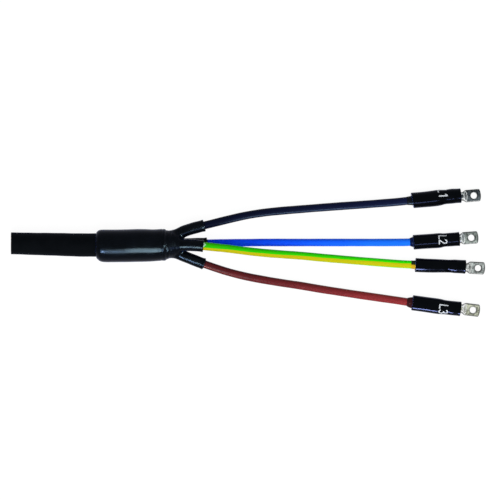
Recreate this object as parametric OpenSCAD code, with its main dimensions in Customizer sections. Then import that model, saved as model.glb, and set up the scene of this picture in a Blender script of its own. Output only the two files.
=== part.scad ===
// Four-core low-voltage cable termination: a stub of power cable, a heat-shrink
// breakout boot, four fanned-out cores and a sleeved cable lug on each core.
// Millimetres. The origin is on the cable's axis at the mouth of the boot,
// +X runs along the cable towards the lugs and +Z is up from the bench it lies on.

/* [Cores] */
// Diameter of one stranded copper conductor
conductor_d = 5.1; // [4.4:0.1:6.4]
// Thickness of the insulation on a conductor
insulation_wall = 1.1; // [0.8:0.1:1.4]
// Space between neighbouring cores inside the cable
core_space = 0.45; // [0.4:0.05:1.2]
// Turn of the four cores about the cable's axis, in degrees
lay_turn = 5; // [0:1:15]
// Length of bare cores between the filler and the point where they part
bare_len = 10; // [4:1:20]
// Distance from the point where the cores part to the web of the boot
part_back = 17; // [15:0.5:20]
// Distance ahead from where the cores part to the mouth of the furthest sleeve
fan_len = 255; // [230:1:320]

/* [Cable] */
// Filler around the core bundle at its thinnest
filler_cover = 0.2; // [0.15:0.05:1]
// Length of filler that stands out of the cut-back sheath
filler_show = 4; // [1:0.5:8]
// Thickness of the outer sheath
sheath_wall = 1.65; // [1.4:0.05:2.6]
// Depth to which the sheath is buffed down where the boot seals on it
sheath_scuff = 0.2; // [0.2:0.05:0.4]
// Length of cable that stands out of the boot
stub_len = 83; // [40:1:140]

/* [Boot] */
// Length of the boot's plain body
body_len = 63; // [50:1:80]
// Wall of the body at the mouth
boot_wall = 3.6; // [2.6:0.1:5]
// Amount by which the radius has drawn in at the far end of the body
body_taper = 1; // [0:0.1:2]
// Rounding of the lip at the mouth
lip_round = 2.4; // [1:0.1:2.5]
// Length over which the shoulder draws in to the neck
shoulder_len = 6; // [4:0.5:8]
// Amount by which the shoulder draws in
shoulder_drop = 1.5; // [1.2:0.1:2]
// Rounding of the shoulder
shoulder_round = 1.2; // [0.4:0.1:1.4]
// Length of the neck
neck_len = 6; // [4:0.5:8]
// Length of the web between the fingers
web_len = 9; // [6:0.5:10]
// Depth of the puckers round the neck
pucker_depth = 0.6; // [0.3:0.1:0.9]
// Distance from one pucker to the next
pucker_space = 4; // [3:0.5:4.5]
// Wall of a finger
finger_wall = 1.05; // [0.9:0.05:1.6]
// Distance along a core from where the cores part to the finger's mouth
finger_reach = 49; // [44:1:54]

/* [Sealant] */
// Hot-melt layer between the sheath and the boot
boot_seal = 0.8; // [0.4:0.1:1.2]
// Hot-melt layer in a finger
finger_seal = 0.4; // [0.3:0.05:0.6]
// Length of the hot-melt layer in a finger
finger_seal_len = 24; // [12:1:28]
// Length of the hot-melt collar squeezed out of a finger
finger_ooze = 1.4; // [0.8:0.1:3]
// Hot-melt layer in a sleeve
sleeve_seal = 0.5; // [0.3:0.05:0.8]
// Length of the hot-melt collar squeezed out of a sleeve
sleeve_ooze = 4; // [2:0.5:6]
// Rise of that collar above the layer in the sleeve
ooze_rise = 0.6; // [0.3:0.1:1.2]

/* [Sleeves] */
// Length of a sleeve
sleeve_len = 48; // [42:1:60]
// Wall of a sleeve over the core
sleeve_wall = 2.85; // [1.8:0.05:3.2]
// Wall of a sleeve over the lug
sleeve_lug_wall = 2.1; // [1.5:0.05:2.6]
// Length over which a sleeve begins to draw in before the lug
draw_len = 1; // [0.5:0.5:8]
// Depth of the waist where the sleeve follows the crimps
waist_depth = 0.45; // [0.1:0.05:0.6]
// Length of the plain end past the waist
rim_len = 4.5; // [3:0.5:6]
// Flare of the rim at the lug end
rim_flare = 0.35; // [0.1:0.05:0.6]

/* [Lugs] */
// Wall of the copper tube that a lug is made from
barrel_wall = 1.5; // [1.2:0.1:1.8]
// Length of the round barrel
barrel_len = 22; // [18:1:28]
// Length of barrel that stands out of the sleeve
barrel_show = 1.5; // [0.5:0.5:4]
// Thickness of copper that closes the barrel towards the palm
barrel_floor = 2; // [1:0.5:4]
// Distance from the barrel's mouth to the first crimp
crimp_from = 5.5; // [3:0.5:8]
// Width of one crimp
crimp_w = 5; // [3:0.5:5.5]
// Space between the crimps
crimp_space = 1; // [0.5:0.5:2]
// Depth of a crimp's flats below the barrel
crimp_depth = 0.35; // [0.2:0.05:0.5]
// Length over which the barrel flattens into the palm
taper_len = 5; // [4:0.5:8]
// Length of the flat palm
palm_len = 13.5; // [12:0.5:20]
// Radius of the rounded tip
tip_round = 10; // [8:0.5:20]
// Diameter of the bolt hole
hole_d = 6.4; // [5.3:0.1:8.4]
// Distance from the bolt hole's centre to the tip
hole_to_tip = 7; // [6:0.5:8]

/* [Hidden] */
$fn = 64;
// Clearance between pieces that are shrunk or bonded onto each other
fit_gap = 0.05;
// Clearance of a conductor in its lug barrel, all round and at its end
barrel_gap = 0.2;
// Bare conductor between its insulation and the lug
strip_gap = 1;
// Sides of every part that is swept along a core
sides = 12;
// Overlap that makes cuts and unions clean
bite = 0.5;
// Bevel on the sleeves' cut edges
bevel = 0.4;
// Thickness to which a hot-melt collar thins out
ooze_edge = 0.1;

core_names = ["l1", "l2", "pe", "l3"];
core_colours = ["#15171c", "#1048e0", "#3fbf20", "#7a2a2c"];
filler_grey = "#2a2a2c";
black_shrink = "#121419";
hot_melt = "#6b5a34";
tinned = "#b9bcb6";
copper = "#c07a4e";

core_r = conductor_d / 2 + insulation_wall;
lay_r = (2 * core_r + core_space) / sqrt(2);
filler_r = lay_r + core_r + filler_cover;
cable_r = filler_r + fit_gap + sheath_wall;
boot_bore_r = cable_r + boot_seal + fit_gap;
boot_r = boot_bore_r + boot_wall;
shoulder_r = boot_r - body_taper;
neck_r = shoulder_r - shoulder_drop;
neck_x = body_len + shoulder_len;
web_x = neck_x + neck_len;
part_x = web_x - part_back;
filler_end = part_x - bare_len;
sheath_end = filler_end - filler_show;
finger_bore_r = core_r + finger_seal + 2 * fit_gap;
finger_r = finger_bore_r + finger_wall;

barrel_bore_r = conductor_d / 2 + barrel_gap;
barrel_r = barrel_bore_r + barrel_wall;
bore_depth = barrel_len - barrel_floor;
palm_t = 2 * barrel_wall;
palm_w = PI * (barrel_r - barrel_wall / 2) + barrel_wall;
palm_x = barrel_len + taper_len;
lug_len = palm_x + palm_len;
sleeve_bore_r = core_r + sleeve_seal + 2 * fit_gap;
sleeve_r = sleeve_bore_r + sleeve_wall;
sleeve_lug_bore_r = barrel_r + fit_gap;
sleeve_lug_r = sleeve_lug_bore_r + sleeve_lug_wall;

// Height of a sleeve's axis when boot and sleeves lie on one bench
rest_z = sleeve_r - boot_r;

// Places of the four cores round the cable's axis, in the order of core_names
lay_angles = [0, 270, 90, 180];
// Heading of each lug in plan, in degrees
lug_turns = [4.6, 4.1, -3, -7];
// Length by which each sleeve was cut shorter (longer if negative), and by which each lug sits deeper in it
sleeve_trims = [0, 2.5, -1.5, 0];
lug_pushes = [0, 1, 0.5, 0.6];
// Routes of the cores from the point where they part to the sleeve's mouth:
// distance ahead, distance aside, and share of the drop to the bench
routes = [
    [[0, 0, 0], [8, 0.8, 0], [14, 2.2, 0], [20, 4.4, 0.01], [28, 8, 0.02], [36, 10.7, 0.04],
     [44, 12.8, 0.07], [54, 15.3, 0.1], [70, 19.3, 0.18], [88, 23.4, 0.29], [106, 26.3, 0.41],
     [124, 28.2, 0.53], [142, 29.7, 0.64], [162, 31.3, 0.76], [182, 32.8, 0.85], [202, 34.2, 0.92],
     [222, 35.7, 0.97], [238, 37, 0.99], [252, 38.4, 1]],
    [[0, 0, 0], [8, 0.1, 0.02], [14, 0.2, 0.06], [20, 0.4, 0.12], [28, 0.6, 0.22], [36, 0.9, 0.33],
     [44, 1.1, 0.43], [54, 1.3, 0.52], [70, 1.6, 0.64], [88, 1.8, 0.73], [106, 2, 0.81],
     [124, 2, 0.88], [142, 2, 0.93], [162, 2, 0.96], [182, 2, 0.98], [202, 2, 0.99],
     [222, 2, 1], [238, 2.1, 1], [253, 2.6, 1]],
    [[0, 0, 0], [8, 0, 0], [14, 0, -0.01], [20, 0.1, -0.02], [28, 0.2, -0.04], [36, 0.2, -0.05],
     [44, 0, -0.05], [54, -0.7, -0.03], [70, -2.3, 0.03], [88, -4.6, 0.12], [106, -6.9, 0.23],
     [124, -8.7, 0.35], [142, -10.2, 0.48], [162, -11.9, 0.62], [182, -13.6, 0.75], [202, -15.3, 0.87],
     [222, -16.9, 0.95], [238, -18.1, 0.99], [255, -19, 1]],
    [[0, 0, 0], [8, -0.2, 0], [14, -0.9, 0.01], [20, -2.5, 0.02], [28, -5.6, 0.03], [36, -8.8, 0.05],
     [44, -11.9, 0.08], [54, -15.5, 0.13], [70, -20.7, 0.22], [88, -25.3, 0.34], [106, -28.8, 0.46],
     [124, -31.8, 0.58], [142, -34.8, 0.69], [162, -37.9, 0.79], [182, -41, 0.88], [202, -44, 0.94],
     [222, -46.9, 0.98], [238, -49.2, 1], [252, -51.2, 1]]
];

// Distance ahead for which the routes were chosen
route_len = max([for (r = routes) r[len(r) - 1].x]);

function unit(v) = v / norm(v);

// Place of core i in the cable's cross-section, at distance x along the cable
function lay_at(i, x) =
    let (a = lay_turn + lay_angles[i])
    [x, lay_r * cos(a), lay_r * sin(a)];

// Point of a route in the part's frame
function route_point(i, p) =
    let (start = lay_at(i, part_x))
    [start.x + p.x * fan_len / route_len, start.y + p.y, start.z + p.z * (rest_z - start.z)];

// Mouth of sleeve i, and the direction in which the sleeve and lug run on from it
function sleeve_at(i) = route_point(i, routes[i][len(routes[i]) - 1]);
function lug_heading(i) = [cos(lug_turns[i]), sin(lug_turns[i]), 0];

// Distances from the mouth of sleeve i to its far end, to the lug's barrel and to the ends of the core's
// insulation and conductor
function sleeve_run(i) = sleeve_len - sleeve_trims[i];
function barrel_at(i) = sleeve_run(i) + max(barrel_show - lug_pushes[i], bite) - barrel_len;
function strip_at(i) = barrel_at(i) - strip_gap;
function conductor_end(i) = barrel_at(i) + bore_depth - barrel_gap;

// Line of core i from where the cores part to the sleeve's mouth, straight where the collar sits
function free_line(i) = concat(
    [for (k = [0 : len(routes[i]) - 2]) route_point(i, routes[i][k])],
    [sleeve_at(i) - (sleeve_ooze + bite) * lug_heading(i)],
    [sleeve_at(i)]);

// Whole line of core i from the cut end of the cable to a distance past the sleeve's mouth
function core_line(i, past) = concat(
    [lay_at(i, -stub_len)],
    free_line(i),
    [sleeve_at(i) + past * lug_heading(i)]);

// Length of a line up to its point k
function run_to(line, k) = k == 0 ? 0 : run_to(line, k - 1) + norm(line[k] - line[k - 1]);

// Point at distance s along a line
function walk(line, s, k = 1) =
    let (step = norm(line[k] - line[k - 1]))
    s <= step || k == len(line) - 1
        ? line[k - 1] + (line[k] - line[k - 1]) * s / step
        : walk(line, s - step, k + 1);

// Stretch of a line between two distances along it
function stretch(line, from, to) = concat(
    [walk(line, from)],
    [for (k = [0 : len(line) - 1]) if (run_to(line, k) > from + bite && run_to(line, k) < to - bite) line[k]],
    [walk(line, to)]);

// Direction of a line at its point k
function heading(line, k) =
    let (back = k == 0 ? [0, 0, 0] : unit(line[k] - line[k - 1]),
         ahead = k == len(line) - 1 ? [0, 0, 0] : unit(line[k + 1] - line[k]))
    unit(back + ahead);

// Ring of points square to a line at its point k
function ring(line, k, r) =
    let (along = heading(line, k), side = unit(cross([0, 0, 1], along)), up = cross(along, side))
    [for (j = [0 : sides - 1]) line[k] + r * (cos(360 * j / sides) * side + sin(360 * j / sides) * up)];

// Value k of a list, or the value itself where one number serves every ring
function pick(values, k) = is_list(values) ? values[k] : values;

function flat(lists) = [for (l = lists) for (v = l) v];

// Triangles of the wall between the rings that start at points a and b
function wall(a, b) = flat([for (j = [0 : sides - 1])
    let (n = (j + 1) % sides)
    [[a + j, b + j, b + n], [a + j, b + n, a + n]]]);

// Solid rod along a line; r is one radius or a radius for each point
module rod(line, r) {
    last = len(line) - 1;
    polyhedron(
        points = flat([for (k = [0 : last]) ring(line, k, pick(r, k))]),
        faces = concat(
            flat([for (k = [0 : last - 1]) wall(k * sides, (k + 1) * sides)]),
            [[for (j = [0 : sides - 1]) j]],
            [[for (j = [0 : sides - 1]) last * sides + sides - 1 - j]]));
}

// Tube along a line, with an outside and an inside radius as in rod
module tube(line, outside, inside) {
    last = len(line) - 1;
    inner = len(line) * sides;
    polyhedron(
        points = flat(concat(
            [for (k = [0 : last]) ring(line, k, pick(outside, k))],
            [for (k = [0 : last]) ring(line, k, pick(inside, k))])),
        faces = concat(
            flat([for (k = [0 : last - 1]) wall(k * sides, (k + 1) * sides)]),
            flat([for (k = [0 : last - 1]) wall(inner + (k + 1) * sides, inner + k * sides)]),
            wall(inner, 0),
            wall(last * sides, inner + last * sides)));
}

// Children turned so that their Z axis lies along X
module along_x() {
    rotate([90, 0, 90]) children();
}

// Children placed at the mouth of sleeve i, with X along the sleeve
module at_sleeve(i) {
    translate(sleeve_at(i)) rotate([0, 0, lug_turns[i]]) children();
}

// Cylinder along X from one distance to another
module bar(from, to, r) {
    translate([from, 0, 0]) along_x() cylinder(r = r, h = to - from);
}

module cable_sheath() {
    color(black_shrink)
    difference() {
        union() {
            bar(-stub_len, 0, cable_r);
            bar(-bite, sheath_end, cable_r - sheath_scuff);
        }
        bar(-stub_len - bite, sheath_end + bite, filler_r + fit_gap);
    }
}

module cable_filler() {
    color(filler_grey)
    difference() {
        bar(-stub_len, filler_end, filler_r);
        for (i = [0 : 3])
            translate([0, lay_at(i, 0).y, lay_at(i, 0).z])
                bar(-stub_len - bite, filler_end + bite, core_r + fit_gap);
    }
}

module conductor(i) {
    color(copper)
    rod(core_line(i, conductor_end(i)), conductor_d / 2);
}

module insulation(i) {
    color(core_colours[i])
    tube(core_line(i, strip_at(i)), core_r, conductor_d / 2 + fit_gap);
}

// Half outline of the boot's outside: radius across, distance along the cable up
module boot_outline() {
    translate([boot_r - lip_round, lip_round]) circle(lip_round);
    translate([shoulder_r - shoulder_round, body_len - shoulder_round]) circle(shoulder_round);
    polygon([
        [0, 0],
        [boot_r - lip_round, 0],
        [boot_r, lip_round],
        [shoulder_r, body_len - shoulder_round],
        [shoulder_r - shoulder_round, body_len],
        [neck_r, neck_x],
        [neck_r, web_x],
        [lay_r, web_x + web_len],
        [0, web_x + web_len]]);
}

// Grooves of the gathered neck, one round the shoulder's middle and the next ones towards the web
module puckers() {
    groove_r = 2 * pucker_depth;
    first = body_len + shoulder_len / 2;
    for (x = [first : pucker_space : web_x]) {
        surface_r = neck_r + shoulder_drop * max(0, neck_x - x) / shoulder_len;
        translate([surface_r + groove_r - pucker_depth, x]) circle(groove_r);
    }
}

module breakout_boot() {
    color(black_shrink)
    difference() {
        union() {
            along_x() rotate_extrude() difference() {
                boot_outline();
                puckers();
            }
            for (i = [0 : 3])
                rod(stretch(free_line(i), bite, finger_reach), finger_r);
        }
        bar(-bite, sheath_end + bite, boot_bore_r);
        bar(sheath_end, part_x + bite, filler_r + fit_gap);
        for (i = [0 : 3])
            rod(concat([lay_at(i, part_x - bite)], stretch(free_line(i), 0, finger_reach + 2 * bite)),
                finger_bore_r);
    }
}

module boot_sealant() {
    color(hot_melt)
    difference() {
        bar(0, sheath_end, boot_bore_r - fit_gap);
        bar(-bite, sheath_end + bite, cable_r - sheath_scuff + fit_gap);
    }
}

// Layer in finger i that ends in a tapered collar outside the finger's mouth
module finger_sealant(i) {
    inside = core_r + fit_gap;
    lining = stretch(free_line(i), finger_reach - finger_seal_len, finger_reach);
    line = concat(lining, [walk(free_line(i), finger_reach + finger_ooze)]);
    color(hot_melt)
    tube(line,
         [for (k = [0 : len(line) - 1]) inside + (k < len(lining) ? finger_seal : ooze_edge)],
         inside);
}

module sleeve(i) {
    end = sleeve_run(i);
    step_x = barrel_at(i) - fit_gap;
    waist_x = barrel_at(i) + crimp_from;
    color(black_shrink)
    at_sleeve(i) along_x() rotate_extrude() polygon([
        [sleeve_bore_r, 0],
        [sleeve_r - bevel, 0],
        [sleeve_r, bevel],
        [sleeve_r, barrel_at(i) - draw_len],
        [sleeve_lug_r - waist_depth, waist_x],
        [sleeve_lug_r - waist_depth, waist_x + crimp_w],
        [sleeve_lug_r, end - rim_len],
        [sleeve_lug_r, end - bevel - 2 * rim_flare],
        [sleeve_lug_r + rim_flare, end - bevel],
        [sleeve_lug_r + rim_flare - bevel, end],
        [sleeve_lug_bore_r, end],
        [sleeve_lug_bore_r, step_x],
        [sleeve_bore_r, step_x]]);
}

// Layer in sleeve i that ends in a tapered collar outside the sleeve's mouth
module sleeve_sealant(i) {
    inside = core_r + fit_gap;
    color(hot_melt)
    at_sleeve(i) along_x() rotate_extrude() polygon([
        [inside, -sleeve_ooze],
        [inside + ooze_edge, -sleeve_ooze],
        [inside + sleeve_seal + ooze_rise, -fit_gap],
        [inside + sleeve_seal, -fit_gap],
        [inside + sleeve_seal, strip_at(i)],
        [inside, strip_at(i)]]);
}

// Cross-section of the palm, a tube pressed flat, seen along the lug
module palm_section() {
    square([palm_w - palm_t, palm_t], center = true);
    for (s = [-1, 1])
        translate([s * (palm_w - palm_t) / 2, 0]) circle(palm_t / 2);
}

// Plan of the palm, with its rounded tip
module palm_plan() {
    tip_x = lug_len - tip_round;
    translate([tip_x, 0]) circle(tip_round);
    translate([palm_x - bite, -palm_w / 2]) square([max(tip_x - palm_x, 0) + bite, palm_w]);
}

// What a six-sided crimp presses away from the barrel
module crimp(from) {
    difference() {
        bar(from, from + crimp_w, barrel_r + bite);
        translate([from - bite, 0, 0]) along_x()
            cylinder(r = (barrel_r - crimp_depth) / cos(30), h = crimp_w + 2 * bite, $fn = 6);
    }
}

module lug(i) {
    palm_z = palm_t / 2 - barrel_r;
    cut_h = palm_t + 2 * bite;
    color(tinned)
    at_sleeve(i) translate([barrel_at(i), 0, 0]) difference() {
        union() {
            bar(0, barrel_len, barrel_r);
            hull() {
                bar(barrel_len - bite, barrel_len, barrel_r, $fn = 32);
                translate([palm_x, 0, palm_z]) along_x()
                    linear_extrude(bite) palm_section($fn = 32);
            }
            intersection() {
                translate([palm_x, 0, palm_z]) along_x() linear_extrude(palm_len) palm_section();
                translate([0, 0, -barrel_r - bite]) linear_extrude(cut_h) palm_plan();
            }
        }
        bar(-bite, bore_depth, barrel_bore_r);
        for (k = [0, 1])
            crimp(crimp_from + k * (crimp_w + crimp_space));
        translate([lug_len - hole_to_tip, 0, -barrel_r - bite]) cylinder(d = hole_d, h = cut_h);
    }
}

cable_sheath();
cable_filler();
breakout_boot();
boot_sealant();
for (i = [0 : 3]) {
    conductor(i);
    insulation(i);
    finger_sealant(i);
    sleeve_sealant(i);
    sleeve(i);
    lug(i);
}
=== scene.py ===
import itertools
import math

import bpy
import numpy as np
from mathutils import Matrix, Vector


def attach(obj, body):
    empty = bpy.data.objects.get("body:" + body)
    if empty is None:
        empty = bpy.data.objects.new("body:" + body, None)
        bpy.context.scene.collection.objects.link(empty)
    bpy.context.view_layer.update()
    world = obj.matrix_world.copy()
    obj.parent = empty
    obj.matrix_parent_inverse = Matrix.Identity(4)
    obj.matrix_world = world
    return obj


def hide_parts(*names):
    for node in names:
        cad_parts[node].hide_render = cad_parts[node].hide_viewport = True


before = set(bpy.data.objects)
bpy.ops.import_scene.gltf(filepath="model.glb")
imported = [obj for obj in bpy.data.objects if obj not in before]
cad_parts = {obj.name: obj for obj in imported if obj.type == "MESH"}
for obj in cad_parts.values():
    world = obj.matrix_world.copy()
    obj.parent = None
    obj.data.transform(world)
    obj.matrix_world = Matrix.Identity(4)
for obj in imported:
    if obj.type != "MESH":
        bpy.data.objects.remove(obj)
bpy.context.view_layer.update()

# Looks of a four-core cable termination. Lengths are in millimetres, in the frame of the part's source,
# and become metres when a mesh is made. The sizes of the solids repeat those of the source.
MM = 0.001
CORES = ["l1", "l2", "pe", "l3"]

# Cable
CLEARANCE = 0.05
CONDUCTOR_R = 2.55
INSULATION_WALL = 1.1
CORE_R = CONDUCTOR_R + INSULATION_WALL
CORE_GAP = 0.45
LAY_R = (2 * CORE_R + CORE_GAP) / math.sqrt(2)
LAY_DEG = {"l1": 5, "l2": 275, "pe": 95, "l3": 185}
FILLER_COVER = 0.2
FILLER_R = LAY_R + CORE_R + FILLER_COVER
SHEATH_WALL = 1.65
CABLE_R = FILLER_R + CLEARANCE + SHEATH_WALL
STUB_LEN = 83.0

# Boot, and the room for sealant inside it
BOOT_SEAL_ROOM = 0.85
BOOT_BORE_R = CABLE_R + BOOT_SEAL_ROOM
BOOT_WALL = 3.6
BOOT_R = BOOT_BORE_R + BOOT_WALL
PART_X = 58.0
FINGER_SEAL_ROOM = 0.5
FINGER_BORE_R = CORE_R + FINGER_SEAL_ROOM
FINGER_WALL = {"l1": 1.6, "l2": 1.4, "pe": 1.6, "l3": 1.36}
FINGER_REACH = {"l1": 49.9, "l2": 50.2, "pe": 46.9, "l3": 49.9}

# Sleeves, which rest on the bench beside the boot
SLEEVE_SEAL_ROOM = 0.6
SLEEVE_BORE_R = CORE_R + SLEEVE_SEAL_ROOM
SLEEVE_WALL = 2.85
SLEEVE_R = SLEEVE_BORE_R + SLEEVE_WALL
SLEEVE_LEN = {"l1": 48.0, "l2": 45.5, "pe": 49.5, "l3": 48.0}
REST_Z = SLEEVE_R - BOOT_R
FLOOR_Z = -BOOT_R
FLOOR_GAP = 0.03

# Lugs; BARREL_X is where a barrel starts, from the sleeve's mouth
BARREL_R = 4.25
BARREL_X = {"l1": 27.5, "l2": 24.0, "pe": 28.5, "l3": 26.9}
BARREL_LEN = 22.0
TAPER_LEN = 5.0
LUG_LEN = 40.5
PALM_T = 3.0
PALM_W = 12.496
HOLE_R = 3.2
HOLE_TO_TIP = 7.0
LUG_TURN = {"l1": 4.6, "l2": 4.1, "pe": -3.0, "l3": -7.0}

# Cores: how far the cords and their lines run on inside, and the radius that shows
CORD_INSIDE = 12.0
LINE_INSIDE = 20.0
SKIN_R = {"l1": CORE_R + 0.28, "l2": CORE_R + 0.1, "pe": CORE_R + 0.3, "l3": CORE_R + 0.24}

# Distances ahead of where the cores part at which their routes are given, the last one at the sleeve's mouth
ROUTE_AHEAD = [0, 8, 14, 20, 28, 36, 44, 54, 70, 88, 106, 124, 142, 162, 182, 202, 222, 238]
MOUTH_AHEAD = {"l1": 252, "l2": 253, "pe": 255, "l3": 252}
# Routes of the cores at these distances: distance aside, share of the drop to the bench
ROUTES = {
    "l1": [(0, 0), (0.8, 0), (2.2, 0), (4.4, 0.01), (8, 0.02), (10.7, 0.04), (12.8, 0.07), (15.3, 0.1),
           (19.3, 0.18), (23.4, 0.29), (26.3, 0.41), (28.2, 0.53), (29.7, 0.64), (31.3, 0.76), (32.8, 0.85),
           (34.2, 0.92), (35.7, 0.97), (37, 0.99), (38.4, 1)],
    "l2": [(0, 0), (0.1, 0.02), (0.2, 0.06), (0.4, 0.12), (0.6, 0.22), (0.9, 0.33), (1.1, 0.43), (1.3, 0.52),
           (1.6, 0.64), (1.8, 0.73), (2, 0.81), (2, 0.88), (2, 0.93), (2, 0.96), (2, 0.98), (2, 0.99),
           (2, 1), (2.1, 1), (2.6, 1)],
    "pe": [(0, 0), (0, 0), (0, -0.01), (0.1, -0.02), (0.2, -0.04), (0.2, -0.05), (-0.35, -0.05),
           (-1.35, -0.03), (-3, 0.03), (-5.3, 0.12), (-7.25, 0.23), (-8.7, 0.35), (-10, 0.48), (-11.9, 0.62),
           (-13.6, 0.75), (-15.3, 0.87), (-16.9, 0.95), (-18.1, 0.99), (-19, 1)],
    "l3": [(0, 0), (-0.2, 0), (-0.9, 0.01), (-2.5, 0.02), (-5.6, 0.03), (-8.8, 0.05), (-11.9, 0.08),
           (-15.5, 0.13), (-20.7, 0.22), (-25.3, 0.34), (-28.8, 0.46), (-31.8, 0.58), (-34.5, 0.69),
           (-37.9, 0.79), (-41, 0.88), (-44, 0.94), (-46.9, 0.98), (-49.2, 1), (-51.2, 1)],
}


# Curves

def through(knots, values, at):
    """Smooth curve through values at increasing knots, read at the given places."""
    knots, values, at = np.asarray(knots, float), np.asarray(values, float), np.asarray(at, float)
    rise = np.diff(values, axis=0) / (np.diff(knots) if values.ndim == 1 else np.diff(knots)[:, None])
    slope = np.concatenate([rise[:1], (rise[1:] + rise[:-1]) / 2, rise[-1:]])
    k = np.clip(np.searchsorted(knots, at, side="right") - 1, 0, len(knots) - 2)
    gap = knots[k + 1] - knots[k]
    t = np.clip((at - knots[k]) / gap, 0, 1)
    if values.ndim > 1:
        gap, t = gap[..., None], t[..., None]
    return ((2 * t**3 - 3 * t**2 + 1) * values[k] + (t**3 - 2 * t**2 + t) * gap * slope[k]
            + (3 * t**2 - 2 * t**3) * values[k + 1] + (t**3 - t**2) * gap * slope[k + 1])


def lengths(points):
    """Distance along a line of points at each of them."""
    return np.concatenate([[0], np.cumsum(np.linalg.norm(np.diff(points, axis=0), axis=1))])


def units(vectors):
    return vectors / np.linalg.norm(vectors, axis=-1, keepdims=True)


UP = np.array([0.0, 0.0, 1.0])


class Line:
    """A smooth line in space that can be read at any distance along it."""

    POINTS_PER_MM = 4
    HALF_CHORD = 0.6

    def __init__(self, points):
        points = np.asarray(points, float)
        chords = lengths(points)
        count = int(chords[-1] * self.POINTS_PER_MM)
        self.points = through(chords, points, np.linspace(0, chords[-1], count))
        self.runs = lengths(self.points)
        self.length = self.runs[-1]

    def at(self, s):
        return np.stack([np.interp(s, self.runs, self.points[:, i]) for i in range(3)], axis=-1)

    def frames(self, s):
        """Points, directions, and the side and up directions square to them."""
        s = np.asarray(s)
        along = units(self.at(s + self.HALF_CHORD) - self.at(s - self.HALF_CHORD))
        side = units(np.cross(UP, along))
        return self.at(s), along, side, np.cross(along, side)


def lay_at(core, x):
    """Middle of a core where it lies in the cable."""
    a = math.radians(LAY_DEG[core])
    return np.array([x, LAY_R * math.cos(a), LAY_R * math.sin(a)])


def route(core):
    """Points of a core from where the cores part to its sleeve's mouth."""
    start = lay_at(core, PART_X)
    steps = zip(ROUTE_AHEAD + [MOUTH_AHEAD[core]], ROUTES[core])
    return [start + [ahead, aside, drop * (REST_Z - start[2])] for ahead, (aside, drop) in steps]


def lug_heading(core):
    a = math.radians(LUG_TURN[core])
    return np.array([math.cos(a), math.sin(a), 0.0])


STRAIGHT_BEFORE_SLEEVE = 4.5


def core_line(core):
    """Line of a core from where the cores part to some way inside its sleeve."""
    points = route(core)
    mouth, heading = points[-1], lug_heading(core)
    straight = [-STRAIGHT_BEFORE_SLEEVE, 0, LINE_INSIDE / 2, LINE_INSIDE]
    return Line(points[:-1] + [mouth + s * heading for s in straight])


LINES = {core: core_line(core) for core in CORES}
MOUTHS = {core: route(core)[-1] for core in CORES}


# Meshes

def mesh_object(name, points, faces, attributes=None, smooth=True, normals=None):
    """Object from points in millimetres, with attributes (in millimetres) and normals for each point."""
    mesh = bpy.data.meshes.new(name)
    mesh.from_pydata((np.asarray(points, float) * MM).tolist(), [], [list(map(int, f)) for f in faces])
    mesh.polygons.foreach_set("use_smooth", [smooth] * len(mesh.polygons))
    for key, values in (attributes or {}).items():
        made = mesh.attributes.new(key, "FLOAT_VECTOR", "POINT")
        made.data.foreach_set("vector", (np.asarray(values, float) * MM).astype(np.float32).ravel())
    mesh.validate()
    if normals is not None:
        mesh.normals_split_custom_set_from_vertices(normals.tolist())
    obj = bpy.data.objects.new(name, mesh)
    bpy.context.scene.collection.objects.link(obj)
    return obj


def grid_faces(rows, around, closed_rows=False):
    """Quads between rows of points that each run once round."""
    faces = []
    for i in range(rows if closed_rows else rows - 1):
        a, b = i * around, (i + 1) % rows * around
        faces += [[a + j, a + (j + 1) % around, b + (j + 1) % around, b + j] for j in range(around)]
    return faces


def angles_round(count):
    return np.linspace(0, 2 * math.pi, count, endpoint=False)


def tube_object(name, line, s, radius, around=40):
    """Closed tube along a line, with a radius for each distance and angle."""
    angle = angles_round(around)
    at, along, side, up = line.frames(s)
    r = radius(s[:, None], angle[None, :])
    ring = np.cos(angle)[None, :, None] * side[:, None, :] + np.sin(angle)[None, :, None] * up[:, None, :]
    points = at[:, None, :] + r[..., None] * ring
    straight = np.stack(np.broadcast_arrays(s[:, None], r * np.cos(angle), r * np.sin(angle)), axis=-1)
    faces = [f[::-1] for f in grid_faces(len(s), around)]
    faces.append(list(range(around)))
    faces.append(list(range(len(s) * around - 1, (len(s) - 1) * around - 1, -1)))
    return mesh_object(name, points.reshape(-1, 3), faces, {"straight": straight.reshape(-1, 3)})


def turned_object(name, profile, place, around=96, shape=None):
    """Ring: a closed outline of (distance along, radius) turned about the X axis and then placed."""
    angle = angles_round(around)
    x, r = (np.asarray([p[i] for p in profile], float)[:, None] for i in (0, 1))
    if shape:
        x, r = shape(x, r, angle[None, :])
    x, r = np.broadcast_arrays(x + 0 * angle, r + 0 * angle)
    points = np.stack([x, r * np.cos(angle), r * np.sin(angle)], axis=-1).reshape(-1, 3)
    faces = [f[::-1] for f in grid_faces(len(profile), around, closed_rows=True)]
    return mesh_object(name, place(points), faces, {"straight": points})


EVENING_ROUNDS = 3


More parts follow.
